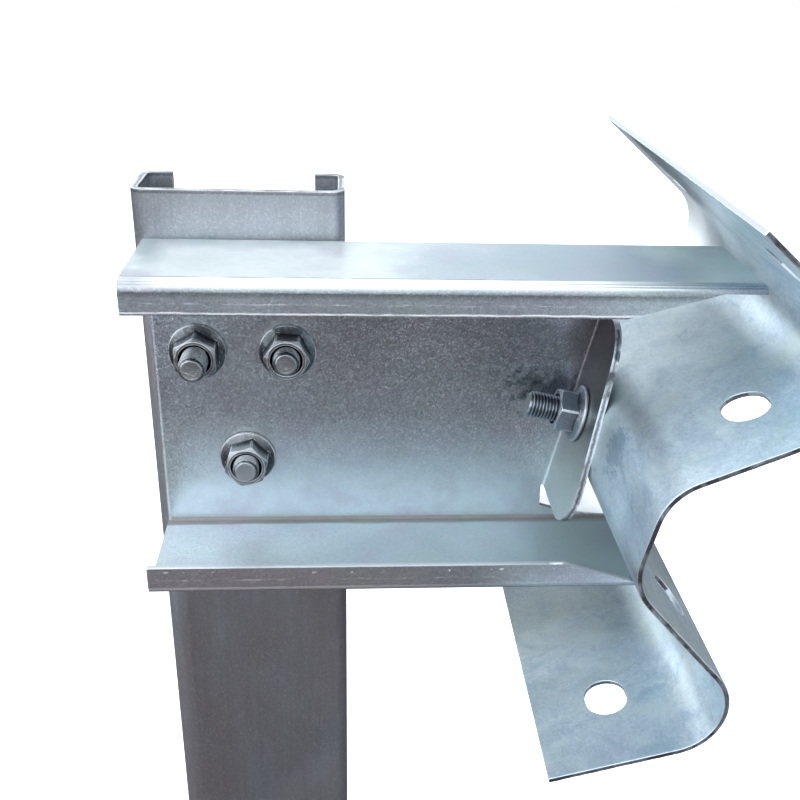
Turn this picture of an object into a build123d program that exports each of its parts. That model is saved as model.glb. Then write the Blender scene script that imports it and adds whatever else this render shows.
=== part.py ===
from build123d import *
import os
from math import cos, radians, sin, tan

# Highway guardrail section: a lipped C post, a folded spacer bracket bolted to its web and a short
# W-beam rail hung on the bracket's tab. Millimetres, +Z up, +X from the post towards the traffic,
# Y along the rail. The origin is on the post's foot, at the middle of the web's thickness.

# ---- Post: cold-formed lipped C channel, web towards -Y, open side towards +Y
post_width = 120.0
post_depth = 50.0
post_lip = 18.0
post_thickness = 4.0
post_outer_radius = 8.0

# ---- Spacer bracket: lipped channel lying along X, web against the post, open side towards -Y
spacer_thickness = 4.0
spacer_height = 187.0
spacer_depth = 84.5
spacer_lip = 18.0
spacer_outer_radius = 6.0
spacer_edge_inset = 6.5  # square end, in from the post's free corner
post_top_above_spacer = 26.5
upper_nose = 76.0  # upper flange's end, past the valley's rear face
lower_nose = 30.0  # lower flange's end, past the valley's rear face
upper_lip_taper = 50.0
upper_lip_end = 24.0  # the upper lip is gone this far short of the nose
lower_lip_taper = 46.0
upper_scoop_radius = 90.0
lower_scoop_radius = 150.0

# ---- Tab: folded out of the spacer's web along a line that leans with the rail
tab_half_height = 62.0
tab_reach = 57.0  # free edge from the web's front face, level with the rail bolt
tab_inner_radius = 1.5
tab_corner_radius = 26.0
relief_depth = 15.0  # upright cut past each end of the fold

# ---- Rail: W-beam. Its section is a line of folds on the rear face: two crests and one valley
rail_length = 300.0
rail_thickness = 3.0
rail_tilt = 12.5  # degrees, the top leans out over the traffic side
rail_height = 600.0  # middle of the valley, above the post's foot
rail_offset = 205.0  # valley's rear face, from the middle of the post
rail_bend_radius = 28.0  # inside radius of every fold
valley_half_width = 27.0
crest_rise = 102.0
crest_half_spacing = 99.5
edge_drop = 3.0  # edges stand this far behind the valley
edge_half_spacing = 153.5
spacer_middle_rise = 6.0  # spacer's middle, above the middle of the valley

# ---- Splice holes near each end of the rail, one on each wall of the section
splice_slot_length = 29.0
splice_slot_width = 24.0
splice_end_distance = 54.0
inner_splice_share = 0.455  # of the inner wall, from valley fold to crest fold
outer_splice_share = 0.63  # of the outer wall, from crest fold to edge
valley_slot_length = 60.0

# ---- Fasteners: M16 bolts with hexagon flange nuts
bolt_diameter = 16.0
hole_clearance = 2.0
nut_clearance = 0.15  # radial, between a bolt and its nut
head_across_flats = 24.0
head_height = 10.0
nut_across_flats = 24.0
nut_height = 16.0
nut_flange_diameter = 34.5
nut_flange_rim = 2.4
nut_flange_cone = 3.2  # cone between the flange's rim and the hexagon
edge_chamfer = 0.8  # round the free end of each hexagon
short_bolt_length = 30.0
long_bolt_length = 40.0
button_diameter = 34.0
button_height = 8.5
button_top_diameter = 20.0
button_rim = 1.6
button_seat_diameter = 20.0  # pad under the head, which holds its rim clear of the valley's curve
button_seat_height = 1.2
neck_length = 24.0  # oval neck, turned by the valley slot
neck_width = 16.8
neck_depth = 2.6
bolt_row_pitch = 53.0
bolt_group_shift = -1.0  # of the bolt group, along X from the post's middle
bolt_row_below_spacer_top = 67.5
low_bolt_drop = 70.0
rail_bolt_from_web = 21.5  # from the spacer web's front face

os.makedirs("parts", exist_ok=True)

# ---- Places that several pieces share
post_front = -post_thickness / 2
web_front = post_front - spacer_thickness
spacer_top = rail_height + spacer_middle_rise + spacer_height / 2
spacer_bottom = spacer_top - spacer_height
spacer_left = -post_width / 2 + spacer_edge_inset
post_height = spacer_top + post_top_above_spacer
hole_diameter = bolt_diameter + hole_clearance
rail_bolt_y = web_front - rail_bolt_from_web
tilt = radians(rail_tilt)
across = Vector(cos(tilt), 0, -sin(tilt))  # square to the rail's face, towards the traffic
upward = Vector(sin(tilt), 0, cos(tilt))  # up the rail's face
valley = Vector(rail_offset, 0, rail_height)
bolt_row_z = spacer_top - bolt_row_below_spacer_top
post_bolts = {
    "left": (bolt_group_shift - bolt_row_pitch / 2, bolt_row_z, long_bolt_length),
    "right": (bolt_group_shift + bolt_row_pitch / 2, bolt_row_z, short_bolt_length),
    "low": (bolt_group_shift, bolt_row_z - low_bolt_drop, short_bolt_length),
}


def lipped_channel(width, depth, lip, radius, thickness):
    """Closed outline of a lipped channel: web on local y = 0, width along x, open towards +y."""
    half = width / 2
    FilletPolyline(
        (-half + lip, depth),
        (-half, depth),
        (-half, 0),
        (half, 0),
        (half, depth),
        (half - lip, depth),
        radius=radius,
    )
    offset(amount=thickness, side=Side.LEFT)


# ---- Post
with BuildPart() as post:
    with BuildSketch(Plane.XY.move(Location((0, post_front)))):
        with BuildLine():
            lipped_channel(post_width, post_depth, post_lip, post_outer_radius, post_thickness)
        make_face()
    extrude(amount=post_height)
    with BuildSketch(Plane.XZ):
        with Locations([(x, z) for x, z, length in post_bolts.values()]):
            Circle(hole_diameter / 2)
    extrude(amount=post_thickness, both=True, mode=Mode.SUBTRACT)
post.part.label = "post"
export_step(post.part, "parts/post.step")


# ---- Spacer bracket. The sheet's far end is forked: an upper and a lower nose, with the tab folded
# out between them. The fold and the tab's outline share the rail's tilted axes.
fold_start = -spacer_thickness - tab_inner_radius  # across the rail, from the valley's rear face
upper_end = rail_offset + upper_nose
lower_end = rail_offset + lower_nose
upper_lip_gone = upper_end - upper_lip_end
upper_flange_inside = spacer_top - spacer_thickness
lower_flange_inside = spacer_bottom + spacer_thickness
past_end = upper_end + spacer_depth
free_edge_y = web_front - tab_reach
lean = tan(tilt) * tab_half_height  # free edge's lean over half the tab's height

web_plane = Plane.XZ.offset(-web_front)
lip_plane = web_plane.offset(spacer_depth - spacer_thickness)
tab_section = Plane(origin=valley, x_dir=across, z_dir=upward)
rail_face = Plane(origin=valley, x_dir=(0, 1, 0), z_dir=across)


def on_web(u, v):
    """Point of the web's plane, from u across the rail and v up its tilted face."""
    point = valley + across * u + upward * v
    return (point.X, point.Z)


fold_bottom = on_web(fold_start, -tab_half_height)
fold_top = on_web(fold_start, tab_half_height)
lower_relief = (fold_bottom[0], fold_bottom[1] - relief_depth)
upper_relief = (fold_top[0], fold_top[1] + relief_depth)

with BuildPart() as tab:
    with BuildSketch(tab_section):
        with BuildLine():
            FilletPolyline(
                (fold_start - spacer_thickness, post_front),
                (0, post_front),
                (0, free_edge_y - lean),
                radius=tab_inner_radius + spacer_thickness,
            )
            offset(amount=spacer_thickness, side=Side.RIGHT)
        make_face()
    extrude(amount=tab_half_height, both=True)
    with BuildSketch(rail_face):
        with BuildLine():
            Polyline(
                (post_depth, tab_half_height),
                (free_edge_y + lean, tab_half_height),
                (free_edge_y - lean, -tab_half_height),
                (post_depth, -tab_half_height),
                close=True,
            )
        make_face()
        fillet(vertices().sort_by(Axis.X)[:2], tab_corner_radius)
    extrude(amount=spacer_depth, both=True, mode=Mode.INTERSECT)

with BuildPart() as spacer:
    with BuildSketch(
        Plane(
            origin=(spacer_left, post_front, (spacer_top + spacer_bottom) / 2),
            x_dir=(0, 0, 1),
            z_dir=(1, 0, 0),
        )
    ):
        with BuildLine():
            lipped_channel(
                spacer_height, spacer_depth, spacer_lip, spacer_outer_radius, spacer_thickness
            )
        make_face()
    extrude(amount=upper_end - spacer_left)
    # fork in the web, with a relief cut at each end of the fold
    with BuildSketch(web_plane):
        with BuildLine():
            RadiusArc((lower_end, lower_flange_inside), lower_relief, lower_scoop_radius)
            Polyline(lower_relief, fold_bottom, fold_top, upper_relief)
            RadiusArc(upper_relief, (upper_end, upper_flange_inside), upper_scoop_radius)
            Polyline(
                (upper_end, upper_flange_inside),
                (past_end, upper_flange_inside),
                (past_end, lower_flange_inside),
                (lower_end, lower_flange_inside),
            )
        make_face()
    extrude(amount=spacer_outer_radius, both=True, mode=Mode.SUBTRACT)
    # lower nose cut back, where the rail's tilt brings the lower trough close
    with BuildSketch(Plane.XZ.offset(-post_front)):
        with Locations((lower_end, spacer_bottom)):
            Rectangle(past_end, spacer_height / 2, align=(Align.MIN, Align.CENTER))
    extrude(amount=spacer_depth, mode=Mode.SUBTRACT)
    # lips tapered to nothing along the noses
    with BuildSketch(lip_plane):
        with BuildLine():
            Polyline(
                (upper_lip_gone - upper_lip_taper, spacer_top - spacer_lip),
                (upper_lip_gone, upper_flange_inside),
                (past_end, upper_flange_inside),
                (past_end, spacer_top - spacer_lip),
                close=True,
            )
        make_face()
        with BuildLine():
            Polyline(
                (lower_end - lower_lip_taper, spacer_bottom + spacer_lip),
                (lower_end, lower_flange_inside),
                (past_end, lower_flange_inside),
                (past_end, spacer_bottom + spacer_lip),
                close=True,
            )
        make_face()
    extrude(amount=spacer_outer_radius, both=True, mode=Mode.SUBTRACT)
    add(tab.part)
    with BuildSketch(web_plane):
        with Locations([(x, z) for x, z, length in post_bolts.values()]):
            Circle(hole_diameter / 2)
    extrude(amount=spacer_thickness, both=True, mode=Mode.SUBTRACT)
    with BuildSketch(rail_face):
        with Locations((rail_bolt_y, 0)):
            Circle(hole_diameter / 2)
    extrude(amount=-2 * spacer_thickness, mode=Mode.SUBTRACT)
spacer.part.label = "spacer"
export_step(spacer.part, "parts/spacer.step")


# ---- Rail. Fold lines of its rear face, across and up the rail, from edge to edge
upper_folds = [
    (0, valley_half_width),
    (crest_rise, crest_half_spacing),
    (-edge_drop, edge_half_spacing),
]
rail_folds = [(u, -v) for u, v in reversed(upper_folds)] + upper_folds
outer_bend_radius = rail_bend_radius + rail_thickness
rail_end = Plane(
    origin=valley + Vector(0, rail_bolt_y + rail_length / 2, 0), x_dir=across, z_dir=(0, -1, 0)
)


def wall_plane(start, end, share, y):
    """Plane on the rail's rear face at a share of the way from one fold to the next."""
    along = Vector(end[0] - start[0], end[1] - start[1])
    u, v = start[0] + along.X * share, start[1] + along.Y * share
    facing = across * along.Y - upward * along.X
    middle = valley + across * u + upward * v + Vector(0, y, 0)
    return Plane(origin=middle, x_dir=(0, 1, 0), z_dir=facing)


with BuildPart() as rail:
    with BuildSketch(rail_end):
        with BuildLine():
            FilletPolyline(
                *rail_folds,
                radius=[rail_bend_radius, outer_bend_radius, outer_bend_radius, rail_bend_radius],
            )
            offset(amount=rail_thickness, side=Side.RIGHT)
        make_face()
    extrude(amount=rail_length)
    for end in (-1, 1):
        slot_y = rail_bolt_y + end * (rail_length / 2 - splice_end_distance)
        for side in (-1, 1):
            folds = [(u, side * v) for u, v in upper_folds]
            for start, finish, share in (
                (folds[0], folds[1], inner_splice_share),
                (folds[1], folds[2], outer_splice_share),
            ):
                with BuildSketch(wall_plane(start, finish, share, slot_y)):
                    SlotOverall(splice_slot_length, splice_slot_width)
                extrude(amount=2 * rail_thickness, both=True, mode=Mode.SUBTRACT)
    with BuildSketch(rail_face):
        with Locations((rail_bolt_y, 0)):
            SlotOverall(valley_slot_length, hole_diameter)
    extrude(amount=2 * rail_thickness, both=True, mode=Mode.SUBTRACT)
rail.part.label = "rail"
export_step(rail.part, "parts/rail.step")


# ---- Fasteners. Each is built on the plane of its seat, with its free end along the plane's normal
def turned(seat):
    """Plane for half a section to be turned about the seat's normal."""
    return Plane(origin=seat.origin, x_dir=seat.x_dir, z_dir=-seat.y_dir)


def hexagon(seat, across_flats, height):
    """Hexagonal prism standing on the seat, its free end chamfered."""
    with BuildPart() as prism:
        with BuildSketch(seat):
            RegularPolygon(across_flats / 2, 6, major_radius=False)
        extrude(amount=height)
        chamfer(faces().sort_by(Axis(seat.origin, seat.z_dir))[-1].edges(), edge_chamfer)
    return prism.part


def post_bolt(seat, length):
    """Hexagon-head bolt, head behind the seat."""
    with BuildPart() as bolt:
        add(hexagon(Plane(seat.origin, seat.x_dir, -seat.z_dir), head_across_flats, head_height))
        with BuildSketch(seat):
            Circle(bolt_diameter / 2)
        extrude(amount=length)
    return bolt.part


def button_bolt(seat, length):
    """Round-headed bolt with an oval neck, head behind the seat."""
    rim = button_diameter / 2
    shoulder = button_seat_height + button_rim
    with BuildPart() as bolt:
        with BuildSketch(turned(seat)):
            with BuildLine():
                Polyline(
                    (0, 0),
                    (button_seat_diameter / 2, 0),
                    (button_seat_diameter / 2, -button_seat_height),
                    (rim, -button_seat_height),
                    (rim, -shoulder),
                    (button_top_diameter / 2, -button_height),
                    (0, -button_height),
                    close=True,
                )
            make_face()
        revolve(axis=Axis(seat.origin, seat.z_dir))
        with BuildSketch(seat):
            SlotOverall(neck_length, neck_width)
        extrude(amount=neck_depth)
        with BuildSketch(seat):
            Circle(bolt_diameter / 2)
        extrude(amount=length)
    return bolt.part


def flange_nut(seat):
    """Hexagon nut with a flange, standing on its seat."""
    rim = nut_flange_diameter / 2
    cone_top = nut_flange_rim + nut_flange_cone
    with BuildPart() as nut:
        add(hexagon(seat, nut_across_flats, nut_height))
        with BuildSketch(turned(seat)):
            with BuildLine():
                Polyline(
                    (0, 0),
                    (rim, 0),
                    (rim, nut_flange_rim),
                    (nut_across_flats / 2, cone_top),
                    (0, cone_top),
                    close=True,
                )
            make_face()
        revolve(axis=Axis(seat.origin, seat.z_dir))
        with BuildSketch(seat):
            Circle(bolt_diameter / 2 + nut_clearance)
        extrude(amount=nut_height, mode=Mode.SUBTRACT)
    return nut.part


for name, (x, z, length) in post_bolts.items():
    bolt = post_bolt(Plane(origin=(x, -post_front, z), x_dir=(1, 0, 0), z_dir=(0, -1, 0)), length)
    bolt.label = f"post_bolt_{name}"
    export_step(bolt, f"parts/{bolt.label}.step")
    nut = flange_nut(Plane(origin=(x, web_front, z), x_dir=(1, 0, 0), z_dir=(0, -1, 0)))
    nut.label = f"post_nut_{name}"
    export_step(nut, f"parts/{nut.label}.step")

rail_bolt_foot = valley + Vector(0, rail_bolt_y, 0)
rail_bolt = button_bolt(
    Plane(origin=rail_bolt_foot + across * rail_thickness, x_dir=(0, 1, 0), z_dir=-across),
    long_bolt_length,
)
rail_bolt.label = "rail_bolt"
export_step(rail_bolt, "parts/rail_bolt.step")
rail_nut = flange_nut(
    Plane(origin=rail_bolt_foot - across * spacer_thickness, x_dir=(0, 1, 0), z_dir=-across)
)
rail_nut.label = "rail_nut"
export_step(rail_nut, "parts/rail_nut.step")
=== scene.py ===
import math

import bmesh
import bpy
from mathutils import Matrix, Vector, noise
from mathutils.bvhtree import BVHTree


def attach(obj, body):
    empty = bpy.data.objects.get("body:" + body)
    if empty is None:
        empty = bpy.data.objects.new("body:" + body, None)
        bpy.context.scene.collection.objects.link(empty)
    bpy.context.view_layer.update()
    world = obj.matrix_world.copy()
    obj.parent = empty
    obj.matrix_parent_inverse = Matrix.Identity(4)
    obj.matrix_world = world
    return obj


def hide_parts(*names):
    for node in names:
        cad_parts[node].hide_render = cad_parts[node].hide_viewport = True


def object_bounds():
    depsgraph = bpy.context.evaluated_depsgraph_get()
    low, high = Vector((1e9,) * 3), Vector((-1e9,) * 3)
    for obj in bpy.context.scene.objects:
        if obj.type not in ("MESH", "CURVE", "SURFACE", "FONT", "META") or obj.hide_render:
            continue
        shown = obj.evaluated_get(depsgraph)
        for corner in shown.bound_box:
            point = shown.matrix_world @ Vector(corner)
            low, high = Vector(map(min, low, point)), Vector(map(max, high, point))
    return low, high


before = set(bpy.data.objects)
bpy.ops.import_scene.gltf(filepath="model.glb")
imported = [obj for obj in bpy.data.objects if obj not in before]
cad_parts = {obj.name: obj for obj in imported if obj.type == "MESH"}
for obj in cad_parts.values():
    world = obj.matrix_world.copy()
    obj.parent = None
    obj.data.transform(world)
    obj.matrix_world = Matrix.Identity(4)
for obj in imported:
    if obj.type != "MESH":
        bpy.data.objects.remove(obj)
cad_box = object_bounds()
scene = bpy.context.scene
MM = 0.001

# ---- Camera: the photograph's viewpoint in the frame of the CAD, and its lens
VIEWPOINT = Vector((0.05994, -0.60499, 0.86169))
PITCH, YAW, ROLL = 0.47446, -0.09306, 0.03829
FOCAL_MM, SENSOR_MM = 47.6118, 36
SHIFT = (-0.0421, 0.0857)
NEAREST_SEEN = 0.01


def add_camera():
    level = Matrix(((1, 0, 0), (0, 0, -1), (0, 1, 0)))
    turns = ((ROLL, "Z"), (PITCH, "X"), (YAW, "Y"))
    roll, pitch, yaw = (Matrix.Rotation(angle, 3, axis) for angle, axis in turns)
    right, down, ahead = roll @ pitch @ yaw @ level
    data = bpy.data.cameras.new("camera")
    data.lens = FOCAL_MM
    data.sensor_width = SENSOR_MM
    data.shift_x, data.shift_y = SHIFT
    data.clip_start = NEAREST_SEEN
    camera = bpy.data.objects.new("camera", data)
    axes = Matrix((right, -down, -ahead)).transposed()
    camera.matrix_world = Matrix.Translation(VIEWPOINT) @ axes.to_4x4()
    scene.collection.objects.link(camera)
    scene.camera = camera


add_camera()


# ---- Node helpers
class Nodes:
    """Short calls that build a node tree."""

    def __init__(self, tree):
        self.tree = tree

    def new(self, kind, inputs=(), **settings):
        node = self.tree.nodes.new(kind)
        for key, value in settings.items():
            setattr(node, key, value)
        for key, value in dict(inputs).items():
            self.put(value, node.inputs[key])
        return node

    def put(self, value, socket):
        if isinstance(value, bpy.types.NodeSocket):
            self.tree.links.new(value, socket)
        else:
            socket.default_value = value

    # -- sources
    def noise(self, where, scale, detail=2.0, roughness=0.5, distortion=0.0):
        inputs = {
            "Vector": where,
            "Scale": scale,
            "Detail": detail,
            "Roughness": roughness,
            "Distortion": distortion,
        }
        return self.new("ShaderNodeTexNoise", inputs).outputs["Fac"]

    def stretched(self, where, scale, turn=(0, 0, 0)):
        node = self.new("ShaderNodeMapping", {"Vector": where, "Scale": scale, "Rotation": turn})
        return node.outputs["Vector"]

    def attribute(self, name):
        return self.new("ShaderNodeAttribute", attribute_name=name).outputs["Fac"]

    # -- numbers
    def math(self, operation, a, b=0.0, clamp=False):
        node = self.new("ShaderNodeMath", {0: a, 1: b}, operation=operation, use_clamp=clamp)
        return node.outputs[0]

    def chain(self, operation, first, *rest):
        for value in rest:
            first = self.math(operation, first, value)
        return first

    def all_of(self, *factors):
        return self.chain("MULTIPLY", *factors)

    def most_of(self, *factors):
        return self.chain("MAXIMUM", *factors)

    def sum_of(self, *terms):
        return self.chain("ADD", *terms)

    def span(self, value, low, high, start=0.0, end=1.0):
        """start up to the low value, end from the high one, and a straight run between."""
        inputs = {"Value": value, "From Min": low, "From Max": high, "To Min": start, "To Max": end}
        return self.new("ShaderNodeMapRange", inputs, clamp=True).outputs["Result"]

    def near(self, value, centre, reach, core):
        """1 within the core about the centre, falling to 0 at the reach."""
        off = self.math("ABSOLUTE", self.math("SUBTRACT", value, centre))
        return self.span(off, core, reach, 1.0, 0.0)

    def ramp(self, place, low, high, start=0.0, end=1.0):
        """A span with its limits in millimetres."""
        return self.span(place, low * MM, high * MM, start, end)

    def band(self, place, centre, reach, core):
        """As near, in millimetres."""
        return self.near(place, centre * MM, reach * MM, core * MM)

    # -- vectors
    def vector(self, operation, a, b=(0, 0, 0)):
        node = self.new("ShaderNodeVectorMath", {0: a, 1: b}, operation=operation)
        return node.outputs["Value" if operation in ("DOT_PRODUCT", "DISTANCE") else "Vector"]

    def axes(self, vector):
        outputs = self.new("ShaderNodeSeparateXYZ", {0: vector}).outputs
        return outputs["X"], outputs["Y"], outputs["Z"]

    def along(self, where, direction, origin):
        """Distance of the place along a direction, from an origin in millimetres."""
        return self.vector("DOT_PRODUCT", self.vector("SUBTRACT", where, origin * MM), direction)

    def from_spot(self, where, spot):
        """Distance of the place from a spot in millimetres."""
        return self.vector("DISTANCE", where, spot * MM)

    def bump(self, height, strength, distance, **below):
        """A normal from a height, on top of the one given as Normal."""
        inputs = {"Strength": strength, "Distance": distance, "Height": height, **below}
        return self.new("ShaderNodeBump", inputs).outputs[0]

    # -- colours
    def mix(self, factor, a, b):
        node = self.new("ShaderNodeMix", data_type="RGBA", blend_type="MIX")
        self.put(factor, node.inputs["Factor"])
        for socket in node.inputs:
            if socket.type == "RGBA":
                self.put(a if socket.name == "A" else b, socket)
        return next(socket for socket in node.outputs if socket.type == "RGBA")

    def tint(self, colour, tone, *factors):
        """The colour turned towards a tone, where all the factors hold."""
        return self.mix(self.all_of(*factors), colour, tone)

    def scaled(self, vector, factor):
        inputs = {0: vector, "Scale": factor}
        return self.new("ShaderNodeVectorMath", inputs, operation="SCALE").outputs["Vector"]

    def shade(self, colour, mask, strength):
        """The colour times a strength, where the mask holds."""
        return self.scaled(colour, self.span(mask, 0.0, 1.0, 1.0, strength))


def srgb(r, g, b):
    """Linear colour of an 8-bit one."""
    def linear(c):
        c /= 255
        return c / 12.92 if c <= 0.04045 else ((c + 0.055) / 1.055) ** 2.4

    return (linear(r), linear(g), linear(b), 1.0)


# ---- Stage: a soft dome, brighter to the left and in front, over a plain floor
WHITE, BLACK = (1, 1, 1, 1), (0, 0, 0, 1)
KEY_SIDE = Vector((-0.70, -0.60, 0.36)).normalized()
DOME_MEAN, DOME_SWING = 1.30, 1.02
DOME_TINT = (0.94, 1.00, 1.03)
BANK_BACK, BANK_TOP, BANK_RIGHT = (0.5, 0.85), (0.42, 0.24), (0.75, 0.1)
BANK_STRENGTH = 1.3
FLOOR_HALF = 14.0
FLOOR_SEEN, FLOOR_DARK = (0.86, 0.86, 0.86, 1), (0.066, 0.054, 0.058, 1)
FLOOR_GLOW, FLOOR_ROUGHNESS, FLOOR_GLOSS = 0.7, 0.9, 0.2


def add_dome():
    world = bpy.data.worlds.new("studio")
    scene.world = world
    world.use_nodes = True
    tree = world.node_tree
    tree.nodes.clear()
    n = Nodes(tree)
    way = n.new("ShaderNodeTexCoord").outputs["Generated"]
    x, y, z = n.axes(way)
    toward_key = n.vector("DOT_PRODUCT", way, KEY_SIDE)
    dome = n.span(toward_key, -1, 1, DOME_MEAN - DOME_SWING, DOME_MEAN + DOME_SWING)
    # a low bank of light behind the object
    bank = n.all_of(
        n.span(y, *BANK_BACK), n.span(z, *BANK_TOP, 0.0, BANK_STRENGTH), n.span(x, *BANK_RIGHT)
    )
    light = n.scaled(DOME_TINT, n.math("ADD", dome, bank))
    seen = n.new("ShaderNodeLightPath").outputs["Is Camera Ray"]
    shine = n.new("ShaderNodeBackground", {"Color": n.mix(seen, light, WHITE), "Strength": 1.0})
    n.new("ShaderNodeOutputWorld", {"Surface": shine.outputs[0]})


def add_floor():
    level = cad_box[0][2]
    corners = [
        (x * FLOOR_HALF, y * FLOOR_HALF, level) for x, y in ((-1, -1), (1, -1), (1, 1), (-1, 1))
    ]
    mesh = bpy.data.meshes.new("floor")
    mesh.from_pydata(corners, [], [(0, 1, 2, 3)])
    floor = bpy.data.objects.new("floor", mesh)
    scene.collection.objects.link(floor)
    material = bpy.data.materials.new("floor")
    material.use_nodes = True
    n = Nodes(material.node_tree)
    shader = material.node_tree.nodes["Principled BSDF"]
    seen = n.new("ShaderNodeLightPath").outputs["Is Camera Ray"]
    n.put(n.mix(seen, FLOOR_DARK, FLOOR_SEEN), shader.inputs["Base Color"])
    n.put(n.mix(seen, BLACK, WHITE), shader.inputs["Emission Color"])
    shader.inputs["Emission Strength"].default_value = FLOOR_GLOW
    shader.inputs["Roughness"].default_value = FLOOR_ROUGHNESS
    shader.inputs["Specular IOR Level"].default_value = FLOOR_GLOSS
    mesh.materials.append(material)


add_dome()
add_floor()
scene.view_settings.view_transform = "Standard"


# ---- Places of the CAD forms, in millimetres
TILT = math.radians(12.5)
ACROSS = Vector((math.cos(TILT), 0, -math.sin(TILT)))  # out of the leaning rail, to the traffic
VALLEY = Vector((205, 0, 600))
RAIL_BOLT_Y = -27.5
POST_AXIS_Y = 25.0
SPACER_AXIS_Y, SPACER_AXIS_Z, SPACER_AXIS_END = -44.0, 606.0, 120.0
NUT_SEAT_Y, BOLT_SEAT_Y = -6.0, 2.0
POST_BOLTS = {  # x, z, length, and the nut's turn in degrees
    "left": (-27.5, 632.0, 40.0, 30),
    "right": (25.5, 632.0, 30.0, -3),
    "low": (-1.0, 562.0, 30.0, 15),
}
FLANGE_TOP, FLANGE_LOW_TOP = 699.5, 516.5
FLANGE_FRONT = -84.5
LIP = 18.0
STAIN_AT = Vector((173, -4, 612))  # on the web, about the rail bolt's tip
PATCH_AT = Vector((207, -94, 609))  # beside the fold of the rail's valley

# ---- Materials
SPARK, ARRIS = srgb(236, 240, 246), srgb(240, 238, 242)
# rubbed metal with a painted highlight, and the painted shade of hollows
BARE_AND_SHEEN, HOLLOW_SHADE = srgb(208, 213, 216), srgb(22, 24, 26)
# scales of the noise, and heights of the relief in metres
SPECK_SCALE, COARSE_SCALE = 1100.0, 420.0
EDGE_RAG_SCALE, EDGE_BREAK_SCALE, RIM_PATCH_SCALE = 260.0, 70.0, 90.0
SPECK_RELIEF, WAVE_RELIEF = 0.0002, 0.003
PLAIN = (0.0, 0.0, 1.0)  # beside a paint's colour: nothing dulled, calmed or shaded


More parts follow.
